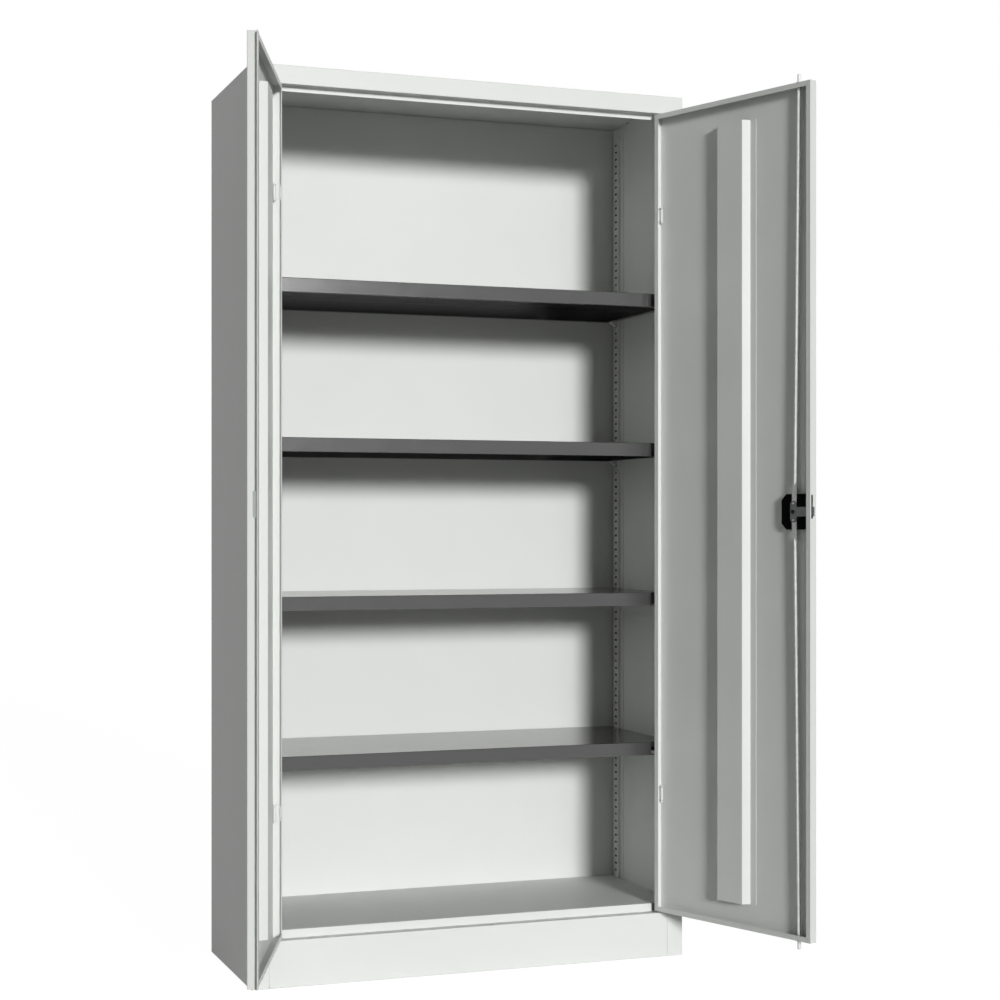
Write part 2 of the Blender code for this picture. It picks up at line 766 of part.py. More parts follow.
def door_panel(side, axis):
    """The door's tray, with slots for the hinges and for the lock's arm."""
    hand = DOOR_HANDS[side]
    panel = folded_pan(
        f"{side}_door_panel",
        (-PIVOT_INSET, DOOR_FRONT, DOOR_BOTTOM),
        (DOOR_FREE_EDGE, DOOR_REAR, DOOR_TOP),
        (0, 1, 0),
        DOOR_RETURN,
        axis,
        paint,
        hand,
    )
    tools = bmesh.new()
    add_seams(tools)
    notch_front = DOOR_FRONT + HINGE_NOTCH_FRONT
    notch_side = EYE_OUTSIDE + HINGE_NOTCH_CLEARANCE
    for height in HINGE_HEIGHTS.values():
        add_block(
            tools,
            (-PIVOT_INSET - CUT_OVERRUN, notch_front, height - HINGE_NOTCH_HEIGHT / 2),
            (notch_side, DOOR_REAR + CUT_OVERRUN, height + HINGE_NOTCH_HEIGHT / 2),
        )
    slot_front = CAM_FRONT - CAM_SLOT_SIDE_CLEARANCE
    slot_rear = CAM_REAR + CAM_SLOT_SIDE_CLEARANCE
    if side == "left":
        slot_rear = slot_front + LEFT_SLOT_DEPTH
    add_block(
        tools,
        (DOOR_FREE_EDGE - CUT_OVERRUN, slot_front, LOCK_Z - CAM_SLOT_BELOW),
        (DOOR_FREE_EDGE + CUT_OVERRUN, slot_rear, LOCK_Z + CAM_SLOT_ABOVE),
    )
    if side == "right":
        for height in (DOOR_TOP, DOOR_BOTTOM):
            add_round(tools, (ROD_X, ROD_Y, height), (0, 0, 1), GUIDE_HOLE, 2 * CUT_OVERRUN)
        add_round(tools, (LOCK_X, DOOR_FRONT, LOCK_Z), (0, 1, 0), SPINDLE_BORE, 2 * CUT_OVERRUN)
    cut(panel, tools, hand)


def door_stiffener(side, axis):
    """A hat section down the middle of the door, spot-welded to the inside of its panel."""
    middle = (DOOR_FREE_EDGE - PIVOT_INSET) / 2
    foot = PANEL_INSIDE + SEAT_GAP + SHEET
    crown = DOOR_REAR - SHEET
    base = STIFFENER_BASE / 2
    face = STIFFENER_FACE / 2
    edge = base + STIFFENER_FLANGE
    profile = (
        (middle - edge, foot),
        (middle - base, foot),
        (middle - face, crown),
        (middle + face, crown),
        (middle + base, foot),
        (middle + edge, foot),
    )
    bent_sheet(
        f"{side}_door_stiffener",
        profile,
        plan_view,
        DOOR_BOTTOM + STIFFENER_END_INSET,
        DOOR_TOP - STIFFENER_END_INSET,
        axis,
        paint,
        DOOR_HANDS[side],
    )


def overlap_strip(axis):
    """A flat strip behind the left door's free edge, which covers the gap between the doors."""
    inner_edge = DOOR_FREE_EDGE - DOOR_RETURN
    strip = block_shape(
        (inner_edge, DOOR_REAR + SEAT_GAP, DOOR_BOTTOM + STRIP_END_INSET),
        (
            inner_edge + STRIP_WIDTH,
            DOOR_REAR + SEAT_GAP + STRIP_SHEET,
            DOOR_TOP - STRIP_END_INSET,
        ),
    )
    add_piece("left_door_overlap_strip", strip, axis, paint)


def hinge_leaf(side, place, height):
    """The fixed leaf behind the stile: an arm, a tongue that reaches forward and a rolled eye."""
    reach = STILE_DEPTH + SEAT_GAP + HINGE_SHEET
    start = LEAF_EYE_ANGLE - math.pi
    eye = arc((PIVOT_X, PIVOT_Y), EYE_OUTSIDE, start, start - LEAF_EYE_ANGLE, EYE_STEPS)
    tongue = PIVOT_X - EYE_OUTSIDE
    corners = [eye[-1], (tongue, reach), (OPENING_EDGE + STILE_RETURN, reach)]
    path = [Vector(point) for point in eye[:-1]] + bent_path(corners, HINGE_SHEET)
    half = LEAF_HEIGHT / 2
    bm = extruded_path(path, plan_view, height - half, height + half)
    hand = SIDES[side]
    leaf = add_piece(f"{side}_{place}_hinge_leaf", bm, CABINET, paint, hand)
    thicken(leaf, HINGE_SHEET)


def hinge_bracket(side, place, height, axis):
    """A channel inside the door whose two ears hold the pin, with a window behind the eye."""
    seat = PANEL_INSIDE + SEAT_GAP
    profile = (
        (EAR_OUTREACH, height - EAR_OUTSIDE),
        (seat, height - EAR_OUTSIDE),
        (seat, height + EAR_OUTSIDE),
        (EAR_OUTREACH, height + EAR_OUTSIDE),
    )
    hand = DOOR_HANDS[side]
    bracket = bent_sheet(
        f"{side}_{place}_hinge_bracket",
        profile,
        side_view,
        -BRACKET_TOWARDS_EDGE,
        BRACKET_TOWARDS_DOOR,
        axis,
        paint,
        hand,
        HINGE_SHEET,
    )
    half = (LEAF_HEIGHT + EAR_GAP) / 2
    window = block_shape(
        (-BRACKET_TOWARDS_EDGE - CUT_OVERRUN, DOOR_FRONT, height - half),
        (EYE_OUTSIDE + BRACKET_WINDOW_CLEARANCE, 0, height + half),
    )
    cut(bracket, window, hand)
    bore = PIN_RADIUS + PIN_CLEARANCE
    cut(bracket, round_shape((0, 0, height), (0, 0, 1), bore, 2 * EAR_OUTSIDE + CUT_OVERRUN), hand)


def hinge_pin(side, place, height, axis):
    seat = EAR_OUTSIDE + SEAT_GAP
    profile = (
        (0, seat + PIN_HEAD),
        (PIN_HEAD_RADIUS, seat + PIN_HEAD),
        (PIN_HEAD_RADIUS, seat),
        (PIN_RADIUS, seat),
        (PIN_RADIUS, -EAR_OUTSIDE - PIN_TAIL),
        (0, -EAR_OUTSIDE - PIN_TAIL),
    )
    pin = turned_shape(profile)
    add_piece(f"{side}_{place}_hinge_pin", moved(pin, (0, 0, height)), axis, paint, smooth=True)


def hinges(side, axis):
    for place, height in HINGE_HEIGHTS.items():
        hinge_leaf(side, place, height)
        hinge_bracket(side, place, height, axis)
        hinge_pin(side, place, height, axis)


# In the right door's frame x runs from the free edge to the hinge, so the lock lies at -x.


def lock_case(axis):
    """Flat black housing on the panel, with two corners cut off, and a hole for the spindle."""
    free_side = -LOCK_X - (CASE_WIDTH - CASE_PAST_SPINDLE)
    low = (free_side, CASE_FRONT, LOCK_Z - CASE_HEIGHT / 2)
    high = (free_side + CASE_WIDTH, CASE_REAR, LOCK_Z + CASE_HEIGHT / 2)
    bm = block_shape(low, high)
    far_corners = [
        edge
        for edge in bm.edges
        if edge.verts[0].co.x > -LOCK_X
        and edge.verts[1].co.x > -LOCK_X
        and abs(edge.verts[0].co.y - edge.verts[1].co.y) > CASE_DEPTH / 2
    ]
    bmesh.ops.bevel(
        bm, geom=far_corners, offset=CASE_CHAMFER, offset_type="OFFSET", segments=1, affect="EDGES"
    )
    case = add_piece("lock_case", bm, axis, black_plastic)
    bore = round_shape((-LOCK_X, 0, LOCK_Z), (0, 1, 0), SPINDLE_BORE, 2 * DOOR_THICKNESS)
    cut(case, bore)


def square(side):
    half = side / 2
    return [(-half, -half), (half, -half), (half, half), (-half, half)]


def cam_outline():
    """A bar with round ends, and an arm that reaches past the door's free edge."""
    end = CAM_BAR_WIDTH / 2
    high = CAM_BAR_LENGTH / 2 - end
    arm = CAM_ARM_WIDTH / 2
    upper_end = arc((0, high), end, 0, math.pi, END_ARC_STEPS)
    lower_end = arc((0, -high), end, math.pi, math.tau, END_ARC_STEPS)
    tip = -CAM_ARM_LENGTH
    return upper_end + [(-end, arm), (tip, arm), (tip, -arm), (-end, -arm)] + lower_end


def lock_cam(axis):
    """The T-shaped plate that drives the rods and bolts the left door, with its two rivet heads."""
    hole = square(SPINDLE_SIDE + 2 * SEAT_GAP)
    bm = flat_shape([cam_outline(), hole], CAM_SHEET)
    cam = add_piece("lock_cam", moved(bm, (0, CAM_FRONT + CAM_SHEET / 2, 0)), axis, dark_steel)
    rivets = bmesh.new()
    for place in (PIN_THROW_RADIUS, -PIN_THROW_RADIUS):
        sunk = CAM_SHEET / 2
        centre = (0, CAM_REAR + (RIVET_HEAD - sunk) / 2, place)
        add_round(rivets, centre, (0, 1, 0), RIVET_RADIUS, RIVET_HEAD + sunk)
    join(cam, rivets)


def lock_spindle(axis):
    """A square bar from the handle to the cam, with a round stub for the nut."""
    half = SPINDLE_SIDE / 2
    front = HANDLE_REAR - SPINDLE_SOCKET + SEAT_GAP
    bar = add_piece(
        "lock_spindle", block_shape((-half, front, -half), (half, CAM_REAR, half)), axis, bare_steel
    )
    tip = CAM_REAR + NUT_HEIGHT - NUT_CAP
    root = CAM_REAR - CAM_SHEET
    stub = round_shape((0, (root + tip) / 2, 0), (0, 1, 0), SPINDLE_STUB_RADIUS, tip - root)
    join(bar, stub)


def cam_nut(axis):
    """A cap nut on the spindle's stub."""
    front = CAM_REAR + SEAT_GAP
    centre = (0, front + NUT_HEIGHT / 2, 0)
    nut = add_piece(
        "cam_nut",
        round_shape(centre, (0, 1, 0), NUT_RADIUS, NUT_HEIGHT, sides=NUT_SIDES),
        axis,
        black_metal,
    )
    bore = SPINDLE_STUB_RADIUS + PIN_CLEARANCE
    mouth = front - CUT_OVERRUN
    bore_end = front + NUT_HEIGHT - NUT_CAP
    middle = (0, (mouth + bore_end) / 2, 0)
    cut(nut, round_shape(middle, (0, 1, 0), bore, bore_end - mouth))


def handle_rosette(axis):
    """A round plate with a bevelled rim, on the outside of the door."""
    outer_front = ROSETTE_REAR - ROSETTE_HEIGHT
    profile = (
        (SPINDLE_BORE, ROSETTE_HEIGHT),
        (ROSETTE_RADIUS - ROSETTE_EDGE, ROSETTE_HEIGHT),
        (ROSETTE_RADIUS, ROSETTE_HEIGHT - ROSETTE_EDGE),
        (ROSETTE_RADIUS, 0),
        (SPINDLE_BORE, 0),
    )
    bm = ring_shape(profile, GUIDE_STEPS)
    bmesh.ops.rotate(bm, verts=bm.verts, matrix=Matrix.Rotation(QUARTER_TURN, 3, "X"))
    moved(bm, (-LOCK_X, outer_front + ROSETTE_HEIGHT, LOCK_Z))
    add_piece("handle_rosette", bm, axis, black_metal, smooth=True)


def turn_handle(axis):
    """An olive-shaped grip on a round neck, with a socket for the spindle and a lock in front."""
    bm = bmesh.new()
    place = Matrix.Translation((0, GRIP_CENTRE, 0))
    swell = Matrix.Diagonal((GRIP_WIDTH / 2, GRIP_DEPTH / 2, GRIP_LENGTH / 2, 1))
    turn = Matrix.Rotation(QUARTER_TURN, 4, "X")
    bmesh.ops.create_uvsphere(
        bm, u_segments=GRIP_SIDES, v_segments=GRIP_RINGS, radius=1, matrix=place @ swell @ turn
    )
    grip = add_piece("turn_handle", bm, axis, black_metal, smooth=True)
    centre = (0, (HANDLE_REAR + GRIP_CENTRE) / 2, 0)
    length = HANDLE_REAR - GRIP_CENTRE
    neck = round_shape(centre, (0, -1, 0), HANDLE_NECK_RADIUS, length, HANDLE_NECK_TOP_RADIUS)
    join(grip, neck)
    half = SPINDLE_SIDE / 2 + SEAT_GAP
    tools = bmesh.new()
    add_block(
        tools,
        (-half, HANDLE_REAR - SPINDLE_SOCKET, -half),
        (half, HANDLE_REAR + CUT_OVERRUN, half),
    )
    pocket_end = CYLINDER_FRONT + CYLINDER_LENGTH + SEAT_GAP
    mouth = CYLINDER_FRONT - CUT_OVERRUN
    add_round(
        tools,
        (0, (mouth + pocket_end) / 2, 0),
        (0, 1, 0),
        CYLINDER_RADIUS + PIN_CLEARANCE,
        pocket_end - mouth,
        sides=GUIDE_STEPS,
    )
    cut(grip, tools)


def lock_cylinder(axis):
    """The key cylinder in the handle, with its keyway."""
    centre = (0, CYLINDER_FRONT + CYLINDER_LENGTH / 2, 0)
    plug = add_piece(
        "lock_cylinder",
        round_shape(centre, (0, 1, 0), CYLINDER_RADIUS, CYLINDER_LENGTH, sides=GUIDE_STEPS),
        axis,
        bare_steel,
        smooth=True,
    )
    half = KEYWAY_WIDTH / 2
    long_half = KEYWAY_LENGTH / 2
    cut(
        plug,
        block_shape(
            (-half, CYLINDER_FRONT - CUT_OVERRUN, -long_half),
            (half, CYLINDER_FRONT + KEYWAY_DEPTH, long_half),
        ),
    )


def guide_axis(place, door, wall, pin_height, towards):
    """The point in the door's edge that a rod swings about, turned to lie along the rod."""
    sideways = ROD_X - LOCK_X
    along = (pin_height - wall) * towards
    tilt = towards * math.atan2(sideways, along)
    length = math.hypot(sideways, along)
    axis = new_axis(f"{place}_rod_axis", door, (-ROD_X, ROD_Y, wall), (0, tilt, 0))
    return axis, length


def rod_guide(place, axis, towards):
    """A plastic bush in the door's edge, with a flange on either side of the sheet."""
    outside = -SEAT_GAP
    inside = SHEET + SEAT_GAP
    rim = GUIDE_OUTSIDE + GUIDE_FLANGE
    profile = [
        (GUIDE_BORE, outside - GUIDE_FLANGE_HEIGHT),
        (rim, outside - GUIDE_FLANGE_HEIGHT),
        (rim, outside),
        (GUIDE_OUTSIDE, outside),
        (GUIDE_OUTSIDE, inside),
        (rim, inside),
        (rim, inside + GUIDE_FLANGE_HEIGHT),
        (GUIDE_BORE, inside + GUIDE_FLANGE_HEIGHT),
    ]
    section = [(radius, towards * depth) for radius, depth in profile]
    add_piece(f"{place}_rod_guide", ring_shape(section, GUIDE_STEPS), axis, black_plastic, smooth=True)


def lock_rod(place, axis, length, towards):
    """A round rod with a chamfered tip, and a flat plate on its end, over the lock's case."""
    joint = length - ROD_PLATE_LENGTH + ROD_PLATE_LAP
    profile = [
        (0, -ROD_THROW),
        (ROD_RADIUS - ROD_TIP_CHAMFER, -ROD_THROW),
        (ROD_RADIUS, -ROD_THROW + ROD_TIP_CHAMFER),
        (ROD_RADIUS, joint),
        (0, joint),
    ]
    bm = turned_shape([(radius, towards * distance) for radius, distance in profile])
    rod = add_piece(f"{place}_lock_rod", bm, axis, bare_steel, smooth=True)
    half = ROD_PLATE_WIDTH / 2
    start = length - ROD_PLATE_LENGTH
    end = arc((0, length), half, 0, math.pi, END_ARC_STEPS)
    outline = [(x, towards * z) for x, z in [(-half, start), (half, start), *end]]
    plate = flat_shape([outline], ROD_PLATE_SHEET)
    join(rod, moved(plate, (0, ROD_PLATE_FRONT + ROD_PLATE_SHEET / 2 - ROD_Y, 0)))


def three_point_lock(door):
    """Handle, spindle, cam, and the two rods that enter the header and the plinth."""
    lock_case(door)
    handle_rosette(door)
    axis = new_axis("handle_axis", door, (-LOCK_X, 0, LOCK_Z))
    turn_handle(axis)
    lock_cylinder(axis)
    lock_spindle(axis)
    lock_cam(axis)
    cam_nut(axis)
    ends = {
        "upper": (DOOR_TOP, LOCK_Z + PIN_THROW_RADIUS, -1),
        "lower": (DOOR_BOTTOM, LOCK_Z - PIN_THROW_RADIUS, 1),
    }
    for place, (wall, pin_height, towards) in ends.items():
        rod_axis, length = guide_axis(place, door, wall, pin_height, towards)
        rod_guide(place, rod_axis, towards)
        lock_rod(place, rod_axis, length, towards)


def doors():
    axes = {side: door_axis(side) for side in DOOR_HANDS}
    for side, axis in axes.items():
        door_panel(side, axis)
        door_stiffener(side, axis)
        hinges(side, axis)
    overlap_strip(axes["left"])
    three_point_lock(axes["right"])


for wall_side in SIDES:
    side_panel(wall_side)
top_panel()
plinth_panel()
floor_panel()
back_panel()
shelving()
doors()
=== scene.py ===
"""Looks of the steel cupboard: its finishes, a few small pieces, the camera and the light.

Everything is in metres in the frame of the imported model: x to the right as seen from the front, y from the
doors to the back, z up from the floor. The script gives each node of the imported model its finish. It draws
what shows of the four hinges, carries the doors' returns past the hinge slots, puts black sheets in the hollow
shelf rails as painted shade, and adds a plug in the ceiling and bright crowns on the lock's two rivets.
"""
import json
import math

import bmesh
import bpy
from mathutils import Matrix, Vector


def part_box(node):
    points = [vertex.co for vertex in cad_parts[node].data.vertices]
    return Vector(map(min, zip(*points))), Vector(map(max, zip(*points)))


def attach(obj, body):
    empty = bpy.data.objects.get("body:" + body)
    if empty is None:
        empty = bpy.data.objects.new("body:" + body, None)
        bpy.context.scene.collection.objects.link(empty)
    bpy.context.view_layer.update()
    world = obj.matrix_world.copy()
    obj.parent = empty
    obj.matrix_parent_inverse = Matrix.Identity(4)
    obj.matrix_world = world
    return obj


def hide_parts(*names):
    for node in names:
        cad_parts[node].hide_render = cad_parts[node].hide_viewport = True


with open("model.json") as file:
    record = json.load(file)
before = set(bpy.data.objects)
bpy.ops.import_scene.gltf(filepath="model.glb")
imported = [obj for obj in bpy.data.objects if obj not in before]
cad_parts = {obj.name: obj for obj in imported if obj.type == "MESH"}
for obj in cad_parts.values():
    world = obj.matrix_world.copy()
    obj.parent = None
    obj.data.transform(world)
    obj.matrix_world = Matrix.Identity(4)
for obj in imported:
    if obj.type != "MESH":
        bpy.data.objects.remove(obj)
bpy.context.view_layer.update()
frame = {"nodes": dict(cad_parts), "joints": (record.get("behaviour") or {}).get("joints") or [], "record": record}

# Camera, fitted to the photograph's frame of 1000 x 1000 pixels
PHOTO_SIDE = 1000
CAMERA_PLACE = (-1.44104, -3.98857, 0.97336)
CAMERA_TURN = math.radians(-19.891)
FOCAL_PIXELS = 1934.54
CENTRE_PIXEL = (475.02, 527.05)
SENSOR_WIDTH = 36.0
NEAREST_SEEN = 0.05
FARTHEST_SEEN = 200

# Light: each lamp's elevation, its turn to the right of straight in front, and its width as an angle
KEY_STRENGTH = 2.58
KEY_ELEVATION = math.radians(11.8)
KEY_FROM_RIGHT = math.radians(2.3)
KEY_SIZE = math.radians(9.3)
SIDE_STRENGTH = 0.22
SIDE_ELEVATION = math.radians(9)
SIDE_FROM_RIGHT = math.radians(9)
SIDE_SIZE = math.radians(11)
LAMP_DISTANCE = 6
AMBIENT_STRENGTH = 0.150
WHITE = (1, 1, 1, 1)

# Floor: the camera sees this share of its shading and shadow, and an even white glow for the rest
SHADOW_SHARE = 0.15
FLOOR_GLOW = 1.15
FLOOR_SIDE = 60.0
FLOOR_DROP = 0.0005
FLOOR_COLOUR = (0.70, 0.70, 0.70)
FLOOR_ROUGHNESS = 0.9

# Finishes, as linear colours
PAINT_COLOUR = (0.675, 0.69, 0.668)
SHELF_COLOUR = (0.038, 0.038, 0.038)
ZINC_COLOUR = (0.56, 0.565, 0.56)
CLIP_COLOUR = (0.86, 0.865, 0.86)
DARK_STEEL_COLOUR = (0.215, 0.222, 0.23)
BLACK_COLOUR = (0.0012, 0.0012, 0.0012)
BLACK_METAL_COLOUR = (0.004, 0.004, 0.004)

# Noise patterns: scale per metre and levels of detail
CLOUDS = (7, 3)
GLOSS_PATCHES = (40, 2)
ORANGE_PEEL = (900, 2)
STREAKS = (1800, 2)
PATCHES = (120, 3)
GRAIN = (1400, 3)
WEAR = (90, 3)

# How far each pattern changes a finish: shares of its colour, steps in its roughness, and the strength and
# height of its bumps; noise between its low and high mark runs from the first share to the second
CLOUD_SHARES = (0.99, 1.01)
GLOSS_STEPS = (-0.03, 0.03)
PEEL_HEIGHT = 0.0003
STREAK_STRETCH = (1, 1, 0.04)
STREAK_STEPS = (-0.08, 0.10)
STREAK_STRENGTH = 0.15
STREAK_HEIGHT = 0.0001
PATCH_SHARES = (0.88, 1.08)
GRAIN_SHARES = (0.8, 1.25)
GRAIN_STRENGTH = 0.25
GRAIN_HEIGHT = 0.0002
WEAR_STEPS = (-0.08, 0.08)
NOISE_LOW = 0.3
NOISE_HIGH = 0.7

# Hinges, drawn in plan with the axis at zero: x towards the door's free edge and y to the back, door shut
DOOR_OPEN_ANGLE = math.radians(110)
SHEET = 0.001
SEAT_GAP = 0.0003
WALL_OUTSIDE = -0.0068
DOOR_FRONT = -0.0044
DOOR_REAR = 0.0156
STILE_SIDE = -0.0118

# Return strip that carries the door's rear edge past the hinge slot
RETURN_NOTCH_EDGE = 0.0034
NOTCH_HEIGHT = 0.030
BRIDGE_GAP = 0.00005
BRIDGE_LEG_END = 0.0139

# Hinge leaf: rolled eye, arm with two bends, foot on the stile, and wing in the door's slot
EYE_RADIUS = 0.0023
EYE_TURN = math.radians(290)
EYE_STEPS = 14
ARM_REACH = 0.0129
ARM_BEND = 0.0015
BEND_STEPS = 3
FOOT_END = 0.020
WING_LENGTH = 0.0115

# Hinge ears, which hold the pin in the door's corner
EAR_SHEET = 0.0012
EAR_RADIUS = 0.0030
EAR_STEPS = 8

# Rounding along the edges of new pieces
EDGE_ROUNDING = 0.0002
EDGE_SEGMENTS = 2

# Black sheets in the hollows of the shelf rails: painted shade where the hollows take no light
SHADE_SHEET_WIDTH = 0.0192
SHADE_SHEET_THICKNESS = 0.0004
SHADE_SHEET_END_INSET = 0.001

# Small domed fittings
PLUG_PLACE = (0.4945, 0.279, 1.949)
PLUG_RADIUS = 0.0030
PLUG_HEIGHT = 0.0008
RIVET_REACH = 0.0176
RIVET_TOP = 0.0117
RIVET_RADIUS = 0.0022
RIVET_HEIGHT = 0.0007
DOME_RINGS = 4
DOME_SIDES = 24


def new_material(name):
    """A node material, with its nodes, its links and its shader."""
    material = bpy.data.materials.new(name)
    material.use_nodes = True
    nodes = material.node_tree.nodes
    return material, nodes, material.node_tree.links, nodes["Principled BSDF"]


def object_place(nodes):
    """Coordinates in metres that are fixed to the piece."""
    return nodes.new("ShaderNodeTexCoord").outputs["Object"]


def noise(nodes, links, place, pattern):
    scale, detail = pattern
    node = nodes.new("ShaderNodeTexNoise")
    node.inputs["Scale"].default_value = scale
    node.inputs["Detail"].default_value = detail
    links.new(place, node.inputs["Vector"])
    return node.outputs["Fac"]


def scaled(colour, share):
    return tuple(channel * share for channel in colour)


def vary_colour(nodes, links, shader, factor, colour, shares):
    """Lets the colour wander between two shares of itself."""
    ramp = nodes.new("ShaderNodeValToRGB")
    low, high = ramp.color_ramp.elements
    low.position = NOISE_LOW
    high.position = NOISE_HIGH
    low.color = (*scaled(colour, shares[0]), 1)
    high.color = (*scaled(colour, shares[1]), 1)
    links.new(factor, ramp.inputs["Fac"])
    links.new(ramp.outputs["Color"], shader.inputs["Base Color"])


def vary_roughness(nodes, links, shader, factor, roughness, steps):
    """Lets the roughness wander by two steps, one down and one up."""
    scale = nodes.new("ShaderNodeMapRange")
    scale.inputs["To Min"].default_value = roughness + steps[0]
    scale.inputs["To Max"].default_value = roughness + steps[1]
    links.new(factor, scale.inputs["Value"])
    links.new(scale.outputs["Result"], shader.inputs["Roughness"])


def bump(nodes, links, shader, factor, strength, height):
    node = nodes.new("ShaderNodeBump")
    node.inputs["Strength"].default_value = strength
    node.inputs["Distance"].default_value = height
    links.new(factor, node.inputs["Height"])
    links.new(node.outputs["Normal"], shader.inputs["Normal"])


def powder_coat(name, colour, roughness, peel, gloss):
    """Baked powder paint: a fine orange peel and very slight clouds in its colour and gloss."""
    material, nodes, links, shader = new_material(name)
    shader.inputs["Specular IOR Level"].default_value = gloss
    place = object_place(nodes)
    clouds = noise(nodes, links, place, CLOUDS)
    vary_colour(nodes, links, shader, clouds, colour, CLOUD_SHARES)
    patches = noise(nodes, links, place, GLOSS_PATCHES)
    vary_roughness(nodes, links, shader, patches, roughness, GLOSS_STEPS)
    skin = noise(nodes, links, place, ORANGE_PEEL)
    bump(nodes, links, shader, skin, peel, PEEL_HEIGHT)
    return material


def plated_steel(name, colour, roughness):
    """Steel, drawn or rolled and then plated or burnished: fine streaks along z and patchy brightness."""
    material, nodes, links, shader = new_material(name)
    shader.inputs["Metallic"].default_value = 1.0
    place = object_place(nodes)
    stretch = nodes.new("ShaderNodeMapping")
    stretch.inputs["Scale"].default_value = STREAK_STRETCH
    links.new(place, stretch.inputs["Vector"])
    streaks = noise(nodes, links, stretch.outputs["Vector"], STREAKS)
    patches = noise(nodes, links, place, PATCHES)
    vary_colour(nodes, links, shader, patches, colour, PATCH_SHARES)
    vary_roughness(nodes, links, shader, streaks, roughness, STREAK_STEPS)
    bump(nodes, links, shader, streaks, STREAK_STRENGTH, STREAK_HEIGHT)
    return material


def moulded_black(name, colour, roughness, gloss):
    """Black plastic or black-coated metal with a fine grain."""
    material, nodes, links, shader = new_material(name)
    shader.inputs["Specular IOR Level"].default_value = gloss
    place = object_place(nodes)
    grain = noise(nodes, links, place, GRAIN)
    vary_colour(nodes, links, shader, grain, colour, GRAIN_SHARES)
    wear = noise(nodes, links, place, WEAR)
    vary_roughness(nodes, links, shader, wear, roughness, WEAR_STEPS)
    bump(nodes, links, shader, grain, GRAIN_STRENGTH, GRAIN_HEIGHT)
    return material


def finishes():
    """One material for each slot of the record."""
    return {
        "grey_paint": powder_coat(
            "light_grey_powder_coat", PAINT_COLOUR, roughness=0.50, peel=0.10, gloss=0.40
        ),
        "shelf_paint": powder_coat(
            "dark_grey_powder_coat", SHELF_COLOUR, roughness=0.15, peel=0.03, gloss=0.90
        ),
        "zinc_plate": plated_steel("zinc_plated_steel", ZINC_COLOUR, roughness=0.52),
        "dark_steel": plated_steel("burnished_dark_steel", DARK_STEEL_COLOUR, roughness=0.45),
        "black_plastic": moulded_black("black_moulded_plastic", BLACK_COLOUR, roughness=0.6, gloss=0.03),
        "black_metal": moulded_black("black_coated_metal", BLACK_METAL_COLOUR, roughness=0.45, gloss=0.14),
    }


def clip_finish():
    """The shelf clips' paler zinc, which is dull enough to be made as a coat."""
    return powder_coat("pale_zinc_clips", CLIP_COLOUR, roughness=0.35, peel=0.05, gloss=0.60)


def dress_nodes(materials, clip_material):
    """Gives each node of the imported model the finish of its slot, and the shelf clips their own."""
    for part in frame["record"]["subparts"]:
        is_clip = part["node"].endswith("_clip")
        node = frame["nodes"][part["node"]]
        node.data.materials.clear()
        node.data.materials.append(clip_material if is_clip else materials[part["material_slot"]])


def add_piece(name, bm, body, material, replaced=None):
    """A new piece that rides on a body, with slightly rounded edges."""
    bmesh.ops.recalc_face_normals(bm, faces=bm.faces)
    mesh = bpy.data.meshes.new(name)
    bm.to_mesh(mesh)
    bm.free()
    mesh.materials.append(material)
    piece = bpy.data.objects.new(name, mesh)
    bpy.context.scene.collection.objects.link(piece)
    bevel = piece.modifiers.new("rounding", "BEVEL")
    bevel.width = EDGE_ROUNDING
    bevel.segments = EDGE_SEGMENTS
    bevel.limit_method = "ANGLE"
    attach(piece, body)
    if replaced:
        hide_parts(replaced)
    return piece


def arc(centre, radius, start, end, steps):
    """Points along an arc in plan, with both of its ends."""
    turn = (end - start) / steps
    return [
        (
            centre[0] + radius * math.cos(start + turn * step),
            centre[1] + radius * math.sin(start + turn * step),
        )
        for step in range(steps + 1)
    ]


def strip(bm, line, sheet, low, high):
    """A strip of sheet that stands on edge, its middle along a line in plan, with mitred corners."""
    points = [Vector(point) for point in line]
    runs = [(second - first).normalized() for first, second in zip(points, points[1:])]
    rows = []
    # The first point has no run before it and the last has none after it, so each takes its one run twice
    for point, before, after in zip(points, runs[:1] + runs, runs + runs[-1:]):
        along = (before + after).normalized()
        side = Vector((-along.y, along.x))
        reach = sheet / 2 / along.dot(before)
        left = point + side * reach
        right = point - side * reach
        corners = ((left, low), (right, low), (right, high), (left, high))
        rows.append([bm.verts.new((place.x, place.y, z)) for place, z in corners])
    for first, second in zip(rows, rows[1:]):
        for corner in range(4):
            following = (corner + 1) % 4
            bm.faces.new((first[corner], first[following], second[following], second[corner]))
    bm.faces.new(rows[0])
    bm.faces.new(rows[-1])


def plate(bm, outline, low, high):
    """A flat plate of the given outline in plan."""
    bottom = [bm.verts.new((x, y, low)) for x, y in outline]
    top = [bm.verts.new((x, y, high)) for x, y in outline]
    bm.faces.new(bottom)
    bm.faces.new(top)
    for number, vert in enumerate(bottom):
        following = (number + 1) % len(bottom)
        bm.faces.new((vert, bottom[following], top[following], top[number]))


def set_on_hinge(bm, axis, hand, angle):
    """Turns a piece by the door's opening angle, mirrors it for the right door, and sets it on its axis."""
    turn = Matrix.Rotation(-angle, 4, "Z")
    mirror = Matrix.Diagonal((hand, 1, 1, 1))
    bm.transform(Matrix.Translation(axis) @ mirror @ turn)


